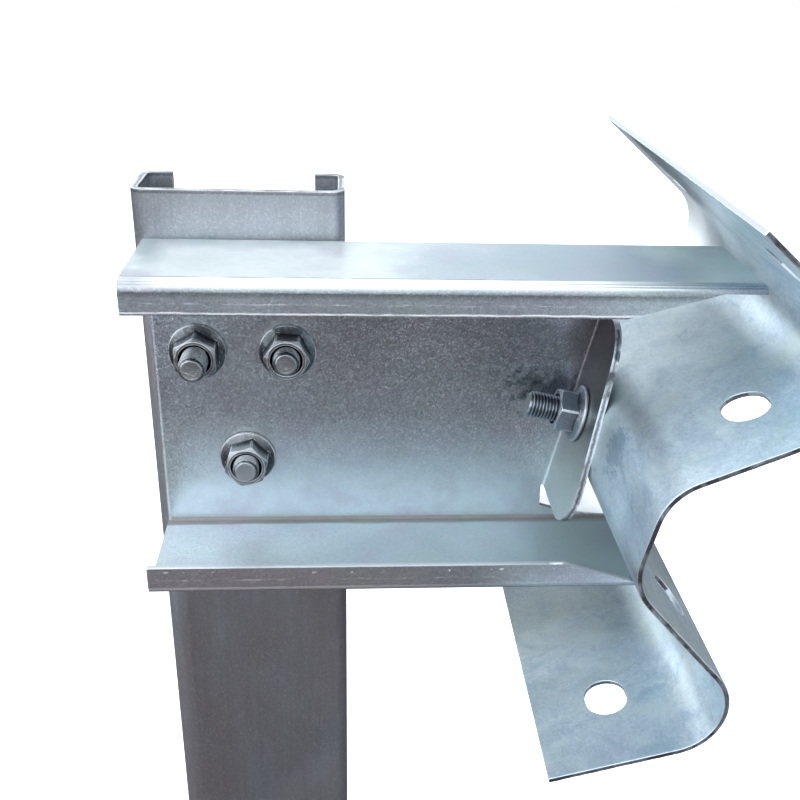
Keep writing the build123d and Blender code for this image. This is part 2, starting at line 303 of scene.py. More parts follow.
def zinc(
    name, dark, mid, light, cast, *, cloud, roughness, metallic, sparkle, paint,
    grain=1.0, streak=(1, 1, 1), turn=(0, 0, 0), crystals=1000.0, sparks=0.15,
    edge_dark=srgb(84, 82, 88), edge_light=srgb(196, 202, 210), edge_bias=0.5, rim_wear_and_sheen=0.85,
):
    """Hot-dip galvanised steel: clouded colour, spangle with painted glints, cut edges, rubbed
    arrises with a painted highlight.

    paint(nodes, place, colour) gives the colour, what is taken from the metallic look, how far
    the spangle is calmed, and a factor for the cut faces."""
    material = bpy.data.materials.new(name)
    material.use_nodes = True
    n = Nodes(material.node_tree)
    shader = material.node_tree.nodes["Principled BSDF"]
    where = n.new("ShaderNodeTexCoord").outputs["Object"]
    # clouds, lighter patches and a drifting cast, with fine grain over them
    clouds = n.noise(n.stretched(where, streak, turn), cloud, 7.0, 0.62, 0.6)
    patches = n.noise(where, cloud * 0.45, 3.0, 0.5, 1.2)
    drift = n.noise(where, cloud * 0.8, 2.0, 0.5, 0.4)
    colour = n.tint(dark, mid, n.span(clouds, 0.34, 0.66))
    colour = n.tint(colour, light, n.span(patches, 0.42, 0.72))
    colour = n.tint(colour, cast, n.span(drift, 0.5, 0.75, 0.0, 0.55))
    speck = n.noise(where, SPECK_SCALE, 2.0, 0.6)
    coarse = n.noise(where, COARSE_SCALE, 2.0, 0.55)
    brightness = n.sum_of(
        n.span(speck, 0.3, 0.7, -0.10 * grain, 0.10 * grain),
        n.span(coarse, 0.35, 0.65, -0.05 * grain, 0.05 * grain),
        1.0,
    )
    colour, dulled, calm, edge_shade = paint(n, where, n.scaled(colour, brightness))
    # painted glints: single crystals painted lighter, as where they would catch the light
    cells = n.new("ShaderNodeTexVoronoi", {"Vector": where, "Scale": crystals}).outputs["Color"]
    lit = n.all_of(
        n.span(n.axes(cells)[0], 0.72, 0.95, 0.0, sparks),
        n.math("SUBTRACT", 1.0, calm, clamp=True),
    )
    colour = n.tint(colour, SPARK, lit)
    # cut edges: a dark seam and striations between two bright arrises
    rag = n.span(n.noise(where, EDGE_RAG_SCALE, 4.0, 0.7), 0.2, 0.8, -0.2, 0.2)
    seam = n.near(n.math("ADD", n.attribute("depth"), rag), 0.5, 0.34, 0.08)
    lean = 0.3 * edge_bias
    breaks = n.noise(where, EDGE_BREAK_SCALE, 3.0, 0.6)
    broken = n.span(breaks, 0.62 - lean, 0.80 - lean)
    dimmed = n.most_of(n.all_of(seam, 0.85), broken)
    edge = n.tint(edge_light, edge_dark, dimmed, n.attribute("sheared"))
    cut = n.attribute("cut")
    colour = n.tint(colour, n.scaled(edge, edge_shade), cut)
    # rubbed arrises of the sheet, lighter as wear and as a painted highlight
    patchy = n.span(n.noise(where, RIM_PATCH_SCALE, 4.0, 0.65), 0.36, 0.60, 0.15, 1.0)
    rim = n.all_of(n.attribute("rim"), patchy, rim_wear_and_sheen)
    colour = n.tint(colour, ARRIS, rim)
    # fasteners: lighter where rubbed and as a painted highlight, darker as painted shade in hollows
    wear_and_shade = n.attribute("wear_and_shade")
    colour = n.tint(colour, BARE_AND_SHEEN, n.span(wear_and_shade, 0.0, 1.0, 0.0, 0.8))
    colour = n.tint(colour, HOLLOW_SHADE, n.span(wear_and_shade, 0.0, -1.0))
    n.put(colour, shader.inputs["Base Color"])
    lost = n.sum_of(n.all_of(rim, 0.8), n.all_of(cut, 0.35), dulled, n.all_of(lit, 0.45))
    n.put(n.math("SUBTRACT", metallic, lost, clamp=True), shader.inputs["Metallic"])
    gloss = n.sum_of(
        n.span(clouds, 0.3, 0.7, roughness + 0.035, roughness - 0.035),
        n.span(speck, 0.3, 0.7, -0.015, 0.015),
        n.span(dulled, 0.0, 1.0, 0.0, 0.25),
    )
    n.put(gloss, shader.inputs["Roughness"])
    # fine grain on slow waves, and each crystal of the coating leans its own way
    strength = n.span(calm, 0.0, 1.0, 0.25, 0.05)
    fine = n.bump(speck, strength, SPECK_RELIEF)
    waves = n.bump(clouds, n.all_of(strength, 1.4), WAVE_RELIEF, Normal=fine)
    tilt = n.vector("SUBTRACT", cells, (0.5, 0.5, 0.5))
    tilt = n.scaled(tilt, n.span(calm, 0.0, 1.0, sparkle, 0.08 * sparkle))
    leant = n.vector("ADD", waves, tilt)
    n.put(n.vector("NORMALIZE", leant), shader.inputs["Normal"])
    return material


def spacer_paint(n, where, colour):
    """Painted sheen on the upper flange, a dull tab with painted shade, painted light and dark
    lines along the folds.
    """
    x, y, z = n.axes(where)
    drift = n.noise(where, 22.0, 3.0, 0.55)
    swirled_x = n.math("ADD", x, n.span(drift, 0.35, 0.65, -14 * MM, 14 * MM))
    on_top = n.ramp(z, FLANGE_TOP - 5, FLANGE_TOP - 1.5)
    on_web = n.ramp(y, -8.5, -7)
    behind_bend = n.ramp(y, FLANGE_FRONT + 4.5, FLANGE_FRONT + 7)
    front = n.ramp(y, FLANGE_FRONT + 2, FLANGE_FRONT + 0.5)
    lip_right = n.ramp(x, 60, 130)

    # upper flange: a painted sheen to the left, grey-blue painted shade towards the rail, a pale
    # nose
    top_sheen = n.all_of(on_top, n.ramp(swirled_x, 120, 70))
    colour = n.tint(colour, srgb(222, 228, 230), top_sheen, 0.8)
    right = n.all_of(on_top, behind_bend, n.ramp(swirled_x, 55, 160, 0.0, 0.85))
    colour = n.tint(colour, srgb(144, 163, 178), right)
    nose = n.all_of(on_top, behind_bend, n.ramp(swirled_x, 225, 262))
    colour = n.tint(colour, srgb(190, 210, 212), nose, 0.8)
    near_rail = n.all_of(on_top, behind_bend, n.ramp(x, 140, 215))
    # its front bend: a painted highlight where it starts, painted shade where it has turned down
    bend = n.all_of(
        n.ramp(y, FLANGE_FRONT + 7, FLANGE_FRONT + 5),
        n.ramp(z, FLANGE_TOP - 3.5, FLANGE_TOP - 2),
        n.ramp(x, 262, 190),
    )
    colour = n.tint(colour, srgb(238, 242, 246), bend)
    turned_down = n.all_of(
        n.ramp(z, FLANGE_TOP - 2.6, FLANGE_TOP - 4.6),
        n.ramp(z, FLANGE_TOP - 9, FLANGE_TOP - 6),
        n.ramp(y, FLANGE_FRONT + 3, FLANGE_FRONT + 1.5),
    )
    colour = n.shade(colour, turned_down, 0.5)
    # stain at the flange's root and left end
    stain = n.all_of(
        on_top, n.most_of(n.ramp(y, -26, -6), n.ramp(x, -34, -46)),
        n.span(drift, 0.36, 0.58), n.ramp(x, 90, 40),
    )
    colour = n.tint(colour, srgb(140, 160, 164), stain, 0.75)
    # thin broken line where the flange starts to bend down
    start = n.band(y, FLANGE_FRONT + 6.4, 0.8, 0.2)
    broken = n.span(n.noise(n.stretched(where, (1, 6, 6)), 60.0, 3.0, 0.6), 0.38, 0.52)
    colour = n.tint(colour, srgb(96, 104, 118), start, broken, on_top, n.ramp(x, 200, 150))

    # tab: grey-green, with brown-grey painted shade over its upper part under the flange
    tab = n.all_of(
        n.ramp(n.along(where, ACROSS, VALLEY), -5.2, -4.4),
        n.ramp(z, FLANGE_TOP - 3.5, FLANGE_TOP - 5),
        n.ramp(z, FLANGE_LOW_TOP - 1, FLANGE_LOW_TOP + 0.5),
        n.ramp(y, FLANGE_FRONT + 5, FLANGE_FRONT + 7),
    )
    colour = n.tint(colour, srgb(206, 214, 206), tab, 0.6)
    colour = n.tint(colour, srgb(96, 92, 90), tab, n.ramp(z, 560, 655), 0.85)
    # shade under the flange by the tab, and the teal stain above the rail bolt
    by_tab = n.all_of(
        n.ramp(x, 110, 178), n.ramp(z, 585, 640), 0.75, n.ramp(y, -30, -8), n.ramp(z, 697, 694)
    )
    colour = n.tint(colour, srgb(104, 102, 108), by_tab)
    mottle = n.span(n.noise(where, 190.0, 3.0, 0.7), 0.44, 0.60)
    at_bolt = n.ramp(n.from_spot(where, STAIN_AT), 30, 10)
    colour = n.tint(colour, srgb(70, 100, 108), mottle, at_bolt, 0.8)

    # web: a painted reflection of the lower flange low down, browner painted shade at the middle of
    # its top, lighter at the left
    low = n.all_of(n.ramp(z, 592, 542), on_web)
    colour = n.tint(colour, srgb(232, 247, 254), low, 0.7)
    middle_top = n.all_of(on_web, n.ramp(z, 602, 648), n.ramp(x, -10, 62))
    colour = n.tint(colour, srgb(150, 138, 142), middle_top, 0.3)
    colour = n.shade(colour, middle_top, 0.84)
    left_end = n.all_of(on_web, n.ramp(x, 0, -40), n.ramp(z, 556, 590))
    colour = n.shade(colour, left_end, 1.20)
    # painted shade: a dark line in the crease of the lower bend
    ragged_y = n.math("ADD", y, n.span(drift, 0.3, 0.7, -1.2 * MM, 1.2 * MM))
    crease_shade = n.all_of(
        n.ramp(z, FLANGE_LOW_TOP + 2.6, FLANGE_LOW_TOP + 1.6),
        n.ramp(z, FLANGE_LOW_TOP - 2, FLANGE_LOW_TOP - 1),
        n.ramp(ragged_y, -13.5, -11.5),
        n.ramp(y, -3.5, -4.2),
    )
    colour = n.tint(colour, srgb(128, 124, 122), crease_shade, 0.95)
    # lower flange: dull, and darker towards the rail
    floor = n.all_of(n.band(z, FLANGE_LOW_TOP, 1.6, 0.8), n.ramp(y, -8, -12))
    colour = n.tint(colour, srgb(142, 166, 174), floor, n.ramp(x, -20, 190, 0.15, 0.75))

    # lips: drawn dashes on both, and a painted shadow line along the upper one's lower edge
    drawn = n.most_of(
        n.band(z, FLANGE_TOP - 11.5, 0.8, 0.2), n.band(z, FLANGE_LOW_TOP + 6, 0.8, 0.2)
    )
    gaps = n.span(n.noise(n.stretched(where, (1, 1, 8)), 120.0, 4.0, 0.65), 0.53, 0.62, 0.0, 0.55)
    dash = n.all_of(drawn, gaps, front)
    colour = n.tint(colour, srgb(226, 228, 236), dash)
    lip_end = FLANGE_TOP - LIP
    # painted shadow line at the upper lip's lower edge
    lip_shadow = n.all_of(n.band(z, lip_end + 0.3, 0.7, 0.3), front)
    colour = n.tint(colour, srgb(58, 54, 62), lip_shadow, 0.8)
    # the lower lip is browner to the left, and both are darker to the right
    low_lip = n.all_of(front, n.ramp(z, 600, 590))
    colour = n.tint(colour, srgb(202, 182, 180), low_lip, n.ramp(x, 40, 140, 0.5, 0.15))
    colour = n.shade(colour, n.all_of(low_lip, lip_right), 0.76)
    colour = n.shade(colour, n.all_of(front, n.ramp(z, 660, 670), lip_right), 0.92)
    # light dots along the lower lip, and the upper one's lower arris, rubbed and with a painted
    # highlight
    dots = n.span(n.noise(n.stretched(where, (1, 1, 1.6)), 230.0, 2.0, 0.5), 0.62, 0.68)
    dots = n.all_of(dots, low_lip, n.band(z, FLANGE_LOW_TOP + 11, 1.2, 0.5))
    colour = n.tint(colour, srgb(240, 242, 246), dots)
    ragged = n.span(n.noise(n.stretched(where, (1, 1, 3)), 50.0, 4.0, 0.65), 0.3, 0.5, 0.35, 1.0)
    waver = n.span(n.noise(where, 55.0, 3.0, 0.6), 0.3, 0.7, -0.35 * MM, 0.35 * MM)
    arris = n.band(n.math("ADD", z, waver), lip_end + 1.5, 0.65, 0.2)
    burnish_and_sheen = n.all_of(arris, front, ragged)
    colour = n.tint(colour, srgb(238, 235, 240), burnish_and_sheen)

    # faint mauve and green drifts over it all, and a painted highlight down the web's free edge
    hue = n.noise(where, 30.0, 3.0, 0.6)
    colour = n.tint(colour, srgb(176, 160, 182), n.span(hue, 0.5, 0.7, 0.0, 0.30))
    colour = n.tint(colour, srgb(168, 186, 172), n.span(hue, 0.5, 0.3, 0.0, 0.25))
    line = n.all_of(n.band(x, -52.4, 0.8, 0.3), n.band(y, -6, 1.2, 0.5), ragged)
    colour = n.tint(colour, srgb(226, 228, 236), line, 0.45)

    dulled = n.sum_of(
        n.all_of(n.most_of(dash, n.all_of(dots, 0.9)), 0.5),
        n.all_of(burnish_and_sheen, 0.85),
        n.all_of(lip_shadow, 0.4),
        n.all_of(near_rail, 0.55),
        n.all_of(n.most_of(floor, n.all_of(crease_shade, 1.6)), 0.5),
        n.all_of(bend, 0.5),
        n.all_of(low, 0.10),
        n.all_of(tab, n.ramp(z, 600, 560), 0.14),
        n.all_of(front, n.ramp(x, 60, 190, 0.10, 0.20)),
        n.all_of(line, 0.4),
        n.all_of(top_sheen, 0.5),
    )
    calm = n.most_of(
        on_top, n.all_of(tab, 0.8), n.all_of(by_tab, 0.9), floor, crease_shade, n.all_of(front, 0.55),
        n.all_of(n.ramp(z, 552, 530), 0.5),
    )
    # cut faces: quieter on the inner side of the lower lip's edge, painted shade in the relief cuts
    inner_side = n.all_of(n.ramp(z, 540, 530), n.span(n.attribute("depth"), 0.35, 0.6))
    in_relief = n.all_of(n.ramp(x, 120, 140), n.ramp(y, -16, -12))
    edge_shade = n.all_of(
        n.span(inner_side, 0.0, 1.0, 1.0, 0.72), n.span(in_relief, 0.0, 1.0, 1.0, 0.45)
    )
    return colour, dulled, calm, edge_shade


def rail_paint(n, where, colour):
    """Brush-like diagonal strokes, painted shade where the beam passes the spacer, painted light
    and shade on its waves.
    """
    _, y, z = n.axes(where)
    stroke = n.noise(n.stretched(where, (0.5, 1.0, 2.6), (0.9, 0.0, 0.3)), 42.0, 5.0, 0.6, 0.8)
    colour = n.tint(colour, srgb(222, 236, 242), n.span(stroke, 0.52, 0.64, 0.0, 0.45))
    colour = n.tint(colour, srgb(162, 188, 206), n.span(stroke, 0.47, 0.34, 0.0, 0.55))
    wisp = n.noise(n.stretched(where, (0.7, 1.0, 3.0), (0.7, 0.2, 0.4)), 120.0, 6.0, 0.7, 1.2)
    colour = n.tint(colour, srgb(236, 244, 246), n.span(wisp, 0.56, 0.68, 0.0, 0.4))
    colour = n.tint(colour, srgb(154, 180, 194), n.span(wisp, 0.45, 0.32, 0.0, 0.4))
    hue = n.noise(where, 26.0, 3.0, 0.6, 0.8)
    colour = n.tint(colour, srgb(196, 214, 206), n.span(hue, 0.5, 0.66, 0.0, 0.35))
    # dark patch beside the valley's fold
    blotch = n.math("ADD", n.from_spot(where, PATCH_AT), n.span(wisp, 0.3, 0.7, -9 * MM, 9 * MM))
    colour = n.tint(colour, srgb(126, 156, 178), n.ramp(blotch, 15, 9, 0.0, 0.5))
    # painted shade towards the spacer, then painted light and shade in zones over the two waves
    colour = n.scaled(colour, n.ramp(y, -120, 0, 1.14, 0.70))
    low_crest = n.all_of(n.band(z, 465, 32, 12), n.ramp(y, -60, -110))
    near_foot = n.all_of(n.ramp(y, -130, -170), n.ramp(z, 520, 480))
    near_end = n.all_of(n.band(z, 592, 30, 8), n.ramp(y, -130, -153))
    above_valley = n.all_of(n.band(z, 655, 24, 6), n.band(y, -20, 36, 8))
    top = n.ramp(z, 675, 700)
    valley = n.all_of(n.band(z, 612, 40, 10), n.ramp(y, -150, -110))
    # the foot: painted shadow under the spacer's lower flange
    foot = n.all_of(n.ramp(z, 480, 470), n.ramp(y, -82, -36))
    for zone, strength in (
        (low_crest, 1.12), (near_foot, 0.88), (near_end, 0.74), (above_valley, 0.84),
        (top, 1.12), (valley, 1.03), (foot, 0.48),
    ):
        colour = n.shade(colour, zone, strength)
    # painted highlight towards the far end, on the post's side only
    normal = n.new("ShaderNodeNewGeometry").outputs["Normal"]
    post_side = n.span(n.vector("DOT_PRODUCT", normal, ACROSS), 0.1, -0.1)
    far = n.all_of(n.ramp(y, 50, 90), post_side)
    colour = n.tint(colour, srgb(248, 248, 250), far, 0.6)
    colour = n.shade(colour, far, 1.25)
    # burrs along the far cut
    far_cut = n.band(y, 121.5, 1.6, 0.6)
    burrs = n.span(n.noise(where, 150.0, 3.0, 0.7), 0.45, 0.55)
    colour = n.tint(colour, srgb(84, 92, 100), far_cut, burrs, n.ramp(z, 640, 600))
    return colour, n.all_of(far, 0.5), 0.7, 1.0


def post_paint(n, where, colour):
    """Drawn lines, a lighter left bend, and streaky brown painted shade below the spacer."""
    x, _, z = n.axes(where)
    # painted shade below the spacer, brown and in streaks
    below = n.ramp(z, 690, 660)
    shade_streaks = n.noise(n.stretched(where, (1, 1, 0.3)), 18.0, 4.0, 0.6, 0.6)
    colour = n.tint(colour, srgb(160, 148, 146), below, n.span(shade_streaks, 0.42, 0.62), 0.45)
    colour = n.shade(colour, n.all_of(below, n.ramp(x, -46, -54)), 1.35)
    lines = n.noise(n.stretched(where, (1, 1, 0.04)), 260.0, 2.0, 0.5)
    colour = n.scaled(colour, n.span(lines, 0.3, 0.7, 0.965, 1.035))
    colour = n.scaled(colour, n.ramp(z, 690, 700, 1.12, 0.86))
    # painted shade: a dark band under the edge at 724.4 mm
    under_edge = n.band(z, 724.4, 1.0, 0.4)
    return n.shade(colour, under_edge, 0.6), *PLAIN


def fastener_paint(n, where, colour):
    """The rail's nut and bolt head are lighter than the fasteners on the post."""
    at_rail = n.ramp(n.axes(where)[0], 136, 148, 0.0, 0.8)
    return n.tint(colour, srgb(172, 184, 198), at_rail), *PLAIN


RAIL_ZINC = zinc(
    "rail_zinc",
    srgb(186, 204, 218), srgb(204, 220, 232), srgb(220, 234, 242), srgb(206, 222, 224),
    cloud=18.0, roughness=0.44, metallic=0.92, sparkle=0.03, paint=rail_paint,
    streak=(1, 0.35, 1), turn=(0.5, 0.3, 0.2),
    edge_dark=srgb(78, 78, 86), edge_light=srgb(182, 190, 200), edge_bias=0.8, rim_wear_and_sheen=0.3,
)
SPACER_ZINC = zinc(
    "spacer_zinc",
    srgb(176, 186, 198), srgb(194, 204, 214), srgb(212, 222, 228), srgb(194, 208, 208),
    cloud=13.0, roughness=0.31, metallic=0.96, sparkle=0.14, paint=spacer_paint,
    grain=1.4, crystals=1350.0, sparks=0.46, edge_light=srgb(222, 226, 232),
)
POST_ZINC = zinc(
    "post_zinc",
    srgb(156, 160, 168), srgb(176, 180, 188), srgb(190, 194, 202), srgb(172, 174, 180),
    cloud=10.0, roughness=0.40, metallic=0.94, sparkle=0.03, paint=post_paint,
    grain=0.7, streak=(6, 6, 0.4),
)
FASTENER_ZINC = zinc(
    "fastener_zinc",
    srgb(84, 89, 95), srgb(102, 108, 114), srgb(136, 141, 148), srgb(94, 102, 102),
    cloud=60.0, roughness=0.34, metallic=0.96, sparkle=0.04, paint=fastener_paint, grain=0.8,
)


# ---- Calls that sheet pieces and fasteners share
def place(obj, slot, *nodes):
    """The piece rides with the object and stands for CAD nodes, which are hidden. The slot is not
    used.
    """
    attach(obj, "root")
    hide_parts(*nodes)


def harden(obj):
    """Smooth shading that keeps the flat faces flat."""
    for face in obj.data.polygons:
        face.use_smooth = True
    normals = obj.modifiers.new("normals", "WEIGHTED_NORMAL")
    normals.keep_sharp = True
    normals.weight = 100


def round_arrises(bm, width, sharpest):
    """Rounds every edge sharper than an angle in degrees, and marks the new faces as rim."""
    rim = bm.faces.layers.float["rim"]
    cut = bm.faces.layers.float["cut"]
    sharp = [edge for edge in bm.edges if edge.calc_face_angle(0.0) > math.radians(sharpest)]
    made = bmesh.ops.bevel(
        bm, geom=sharp, offset=width, offset_type="OFFSET", segments=2, profile=0.5,
        affect="EDGES", clamp_overlap=True,
    )
    for face in made["faces"]:
        face[cut] = 0.0
        face[rim] = 1.0


# ---- Sheet pieces: the CAD forms with rounded, slightly ragged arrises
THICK_SHEET, THIN_SHEET = 4 * MM, 3 * MM
THICK_ARRIS, THIN_ARRIS = 0.5 * MM, 0.4 * MM
SHEET_SHARPEST, FLAT_WITHIN = 38, 0.3  # degrees
STRIP_STEP = 2.2 * MM
RAGGED_DEPTH = 0.35 * MM
RAGGED_SCALE, RAGGED_BIAS = 420, 0.3
FINER_SCALE, FINER_SHARE = 2.7, 0.6
FACING = 0.9  # cosine from which a face counts as facing along an axis
SLIVER = 0.002 * MM  # points nearer than this become one
SKIN = 0.01 * MM  # how far below a face its ray starts


def split_arris_strips(bm, step):
    """Cuts the long strips of the rounded arrises across, about every step."""
    rim = bm.faces.layers.float["rim"]
    strips = [face for face in bm.faces if face[rim] > 0]
    edges = dict.fromkeys(edge for face in strips for edge in face.edges)
    longest = [edge for edge in edges if edge.calc_length() > 1.5 * step]
    owner = {}
    for number, edge in enumerate(longest):
        count = int(edge.calc_length() / step)
        vertex = edge.verts[0]
        for i in range(count):
            vertex = bmesh.utils.edge_split(edge, vertex, 1 / (count + 1 - i))[1]
            owner[vertex] = number
    for face in strips:
        ring = [loop.vert for loop in face.loops]
        first = next((i for i, vertex in enumerate(ring) if vertex not in owner), 0)
        ring = ring[first:] + ring[:first]
        runs = {}
        for vertex in ring:
            if vertex in owner:
                runs.setdefault(owner[vertex], []).append(vertex)
        sides = list(runs.values())
        if len(sides) != 2 or len(sides[0]) != len(sides[1]):
            continue
        for one, other in zip(sides[0], reversed(sides[1])):
            shared = [f for f in one.link_faces if f[rim] > 0 and other in f.verts]
            if shared:
                bmesh.utils.face_split(shared[0], one, other)


def make_ragged(bm, depth):
    """Moves the rounded arrises a little and unevenly into the metal, along the flat faces."""
    rim = bm.faces.layers.float["rim"]
    bm.normal_update()
    moves = {}
    for vertex in bm.verts:
        if not any(face[rim] > 0 for face in vertex.link_faces):
            continue
        spot = vertex.co * RAGGED_SCALE
        finer = noise.noise(spot * FINER_SCALE)
        uneven = max(0.0, RAGGED_BIAS + noise.noise(spot) + FINER_SHARE * finer)
        way = vertex.normal.copy()
        for face in vertex.link_faces:
            if face[rim] == 0:
                way -= way.dot(face.normal) * face.normal
        moves[vertex] = -way * depth * uneven
    for vertex, move in moves.items():
        vertex.co += move


def mark_cuts(bm, thickness):
    """Marks the faces that have no other side of the sheet close behind them.

    They also get the second material index, so that no flat is joined across their edge."""
    cut = bm.faces.layers.float.new("cut")
    tree = BVHTree.FromBMesh(bm)
    for face in bm.faces:
        inward = face.calc_center_median() - face.normal * SKIN
        behind = tree.ray_cast(inward, -face.normal, 1.0)[3]
        deep = behind is None or behind > 1.5 * thickness
        face[cut] = 1.0 if deep else 0.0
        face.material_index = int(deep)


def mark_depth(bm, heart):
    """Marks the points of a cut edge: 0 on its outer arris, 1 on the inner one."""
    cut = bm.faces.layers.float["cut"]
    depth = bm.verts.layers.float.new("depth")
    for vertex in bm.verts:
        outward = vertex.co - heart(vertex.co)
        skins = [face for face in vertex.link_faces if face[cut] == 0.0]
        outer = skins and skins[0].normal.dot(outward) > 0
        vertex[depth] = 0.0 if outer else 1.0


def dressed(node, name, thickness, arris, material, slot, heart, is_sheared):
    """A copy of a sheet-metal node with its arrises rounded and its cut edges marked.

    heart(point) lies on the inner side of the sheet. is_sheared(face) tells the cuts that have
    a dark, broken face."""
    obj = bpy.data.objects.new(name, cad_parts[node].data.copy())
    scene.collection.objects.link(obj)
    obj.data.materials.clear()
    obj.data.materials.append(material)
    bm = bmesh.new()
    bm.from_mesh(obj.data)
    bmesh.ops.remove_doubles(bm, verts=bm.verts, dist=SLIVER)
    bm.normal_update()
    by_axis = list(zip(*(vertex.co for vertex in bm.verts)))
    limits = [[min(c) for c in by_axis], [max(c) for c in by_axis]]
    mark_cuts(bm, thickness)
    bm.faces.layers.float.new("rim")
    bmesh.ops.dissolve_limit(
        bm, angle_limit=math.radians(FLAT_WITHIN), verts=bm.verts, edges=bm.edges,
        delimit={"MATERIAL"},
    )
    mark_depth(bm, heart)
    for face in bm.faces:
        face.material_index = 0
    round_arrises(bm, arris, SHEET_SHARPEST)
    split_arris_strips(bm, STRIP_STEP)
    make_ragged(bm, RAGGED_DEPTH)
    for vertex in bm.verts:
        vertex.co = Vector(min(max(c, low), high) for c, low, high in zip(vertex.co, *limits))
    bmesh.ops.remove_doubles(bm, verts=bm.verts, dist=SLIVER)
    sheared = bm.faces.layers.float.new("sheared")
    for face in bm.faces:
        face[sheared] = 1.0 if is_sheared(face) else 0.0
    bm.to_mesh(obj.data)
    bm.free()
    harden(obj)
    place(obj, slot, node)


dressed(
    "post", "post_section", THICK_SHEET, THICK_ARRIS, POST_ZINC, "post_steel",
    heart=lambda p: Vector((0, POST_AXIS_Y * MM, p.z)),
    is_sheared=lambda face: True,
)
dressed(
    "spacer", "spacer_bracket", THICK_SHEET, THICK_ARRIS, SPACER_ZINC, "spacer_steel",
    heart=lambda p: Vector(
        (min(p.x, SPACER_AXIS_END * MM), SPACER_AXIS_Y * MM, SPACER_AXIS_Z * MM)
    ),
    is_sheared=lambda face: abs(face.normal.z) < FACING,
)
dressed(
    "rail", "rail_beam", THIN_SHEET, THIN_ARRIS, RAIL_ZINC, "rail_steel",
    heart=lambda p: p - ACROSS,
    is_sheared=lambda face: abs(face.normal.y) > FACING,
)

# ---- Fasteners: M16 with helical threads. Sizes in millimetres
PITCH_MM = 2.0
CREST, ROOT = 7.95, 6.75
INNER = CREST - 0.5  # where the shank, the heads and the neck close inside each other
THREAD_PROFILE = (  # along one pitch: place, height above the root, and wear with painted light and shade
    (0.0, 0.88, 0.4), (0.07, 1.0, 0.9), (0.14, 0.88, 0.3),
    (0.38, 0.08, -0.85), (0.56, 0.0, -0.85), (0.74, 0.08, -0.4),
)
THREAD_WAVER = 0.10
TIP_LENGTH, TIP_RADIUS = 0.9, ROOT + 0.05
ROUND, FINE_ROUND = 48, 72  # points in a ring
BORE, FLANGE, NUT_HEIGHT = 8.12, 17.25, 16.0
CONE_FOOT, CONE_SLOPE = 2.5, 0.56
FLATS, CORNER = 12.0, 13.55
CHAMFER_FROM, CHAMFER = 11.3, math.tan(math.radians(28))
HEAD_HEIGHT, HEAD_WASHER = 10.0, 11.4
BUTTON, BUTTON_HEIGHT = 17.0, 8.5
PAD, PAD_HEIGHT = 9.98, 1.2
NECK_LENGTH, NECK_WIDTH, NECK_END = 24, 16.8, 8.35  # NECK_END is the round ends' radius
POST_GRIP, RAIL_GRIP = 8, 7  # sheets between a bolt's head and its nut
HIDDEN_THREAD = 4.5  # how far the thread starts below the nut's top
RAIL_BOLT_LENGTH = 40.0
NUT_ARRIS, NUT_SHARPEST = 0.25, 22
SAME_POINT = 1e-6  # metres


class Lathe:
    """Rings of points about an axis, each joined to the one before.

    Each point's wear runs from -1, a painted shade for hollows, to 1, rubbed bare with a painted
    highlight."""

    def __init__(self, angles):
        self.angles = angles
        self.points = []
        self.faces = []
        self.wear_and_shade = []

    def point(self, radius, angle, height, wear_and_shade):
        self.points.append((radius * math.cos(angle), radius * math.sin(angle), height))
        self.wear_and_shade.append(wear_and_shade)

    def ring(self, shape, wear_and_shade=0.0):
        """shape(angle) gives the radius and the height of each point."""
        count = len(self.angles)
        start = len(self.points)
        for angle in self.angles:
            radius, height = shape(angle)
            self.point(radius, angle, height, wear_and_shade)
        if start:
            for i in range(count):
                j = (i + 1) % count
                self.faces.append((start - count + i, start - count + j, start + j, start + i))

    def circles(self, *rings):
        """Round rings, each as a radius, a height and, if not 0, its wear."""
        for radius, height, *wear_and_shade in rings:
            self.ring(lambda angle: (radius, height), *wear_and_shade)

    def cap(self, height, wear_and_shade=0.0, first=False):
        """Closes the last ring, or the first one, with a fan to the axis."""
        count = len(self.angles)
        middle = len(self.points)
        self.point(0, 0, height, wear_and_shade)
        start = 0 if first else middle - count
        for i in range(count):
            self.faces.append((start + i, start + (i + 1) % count, middle))

    def add(self, other):
        base = len(self.points)
        self.points += other.points
        self.wear_and_shade += other.wear_and_shade
        self.faces += [tuple(base + i for i in face) for face in other.faces]


def even(count):
    return [2 * math.pi * i / count for i in range(count)]


def hexagon_angles():
    """Angles that fall on the ends of each flat and share out the rest."""
    edge = math.acos(FLATS / CORNER)
    side = [-math.pi / 6, -edge] + [edge * f for f in (-0.75, -0.45, -0.15, 0.15, 0.45, 0.75, 1)]
    return [math.pi / 6 + math.pi / 3 * k + a for k in range(6) for a in side]


def hexagon_radius(angle):
    """Radius of a hexagon with rounded corners, which stand at 0, 60, 120 degrees and so on."""
    off = angle % (math.pi / 3) - math.pi / 6
    return min(FLATS / math.cos(off), CORNER)


def bevel_height(angle, top):
    """Height at which the chamfer of a hexagon's top meets its side."""
    return top - (hexagon_radius(angle) - CHAMFER_FROM) * CHAMFER


